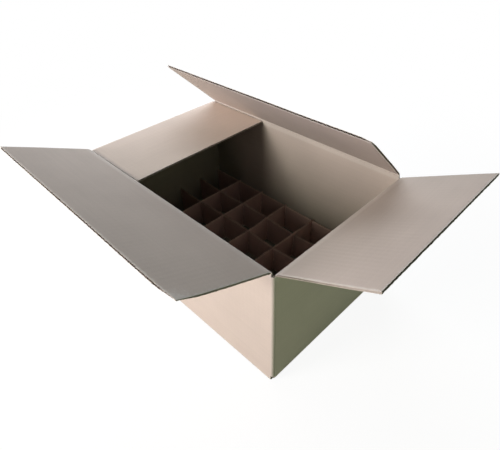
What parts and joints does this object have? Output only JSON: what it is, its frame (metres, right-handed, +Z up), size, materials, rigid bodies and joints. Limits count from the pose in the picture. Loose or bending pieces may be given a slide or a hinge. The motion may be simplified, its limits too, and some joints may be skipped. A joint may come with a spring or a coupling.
{
  "type": "bottle shipping box",
  "caption": "Corrugated carton with hinged top flaps and a low grid of interlocking dividers that keeps bottles apart on its floor.",
  "frame": {"origin": "centre of the base, on the surface that the box stands on", "axes": "+Z up out of the open top; +X along the box, away from the end flap that is folded in; +Y across the box"},
  "size_m": [0.5823, 0.4336, 0.3401],
  "materials": {
    "carton_board": "matt kraft liner with a faint flute ripple",
    "divider_board": "matt brown kraft liner with open fluted edges"
  },
  "bodies": {
    "box": {"box_body": "carton_board", "long_divider_1": "divider_board", "long_divider_2": "divider_board", "long_divider_3": "divider_board", "long_divider_4": "divider_board", "long_divider_5": "divider_board", "long_divider_6": "divider_board", "short_divider_1": "divider_board", "short_divider_2": "divider_board", "short_divider_3": "divider_board", "short_divider_4": "divider_board", "short_divider_5": "divider_board"},
    "front_flap": {"front_flap": "carton_board"},
    "back_flap": {"back_flap": "carton_board"},
    "right_flap": {"right_flap": "carton_board"}
  },
  "joints": [
    {"name": "front_flap_crease", "type": "hinge", "parent": "box", "child": "front_flap", "pos_m": [0, -0.148, 0.238], "axis": [-1, 0, 0], "range_deg": [-74, 156]},
    {"name": "back_flap_crease", "type": "hinge", "parent": "box", "child": "back_flap", "pos_m": [0, 0.148, 0.238], "axis": [1, 0, 0], "range_deg": [-187, 43]},
    {"name": "right_flap_crease", "type": "hinge", "parent": "box", "child": "right_flap", "pos_m": [0.224, 0, 0.2336], "axis": [0, -1, 0], "range_deg": [-77, 61]}
  ]
}
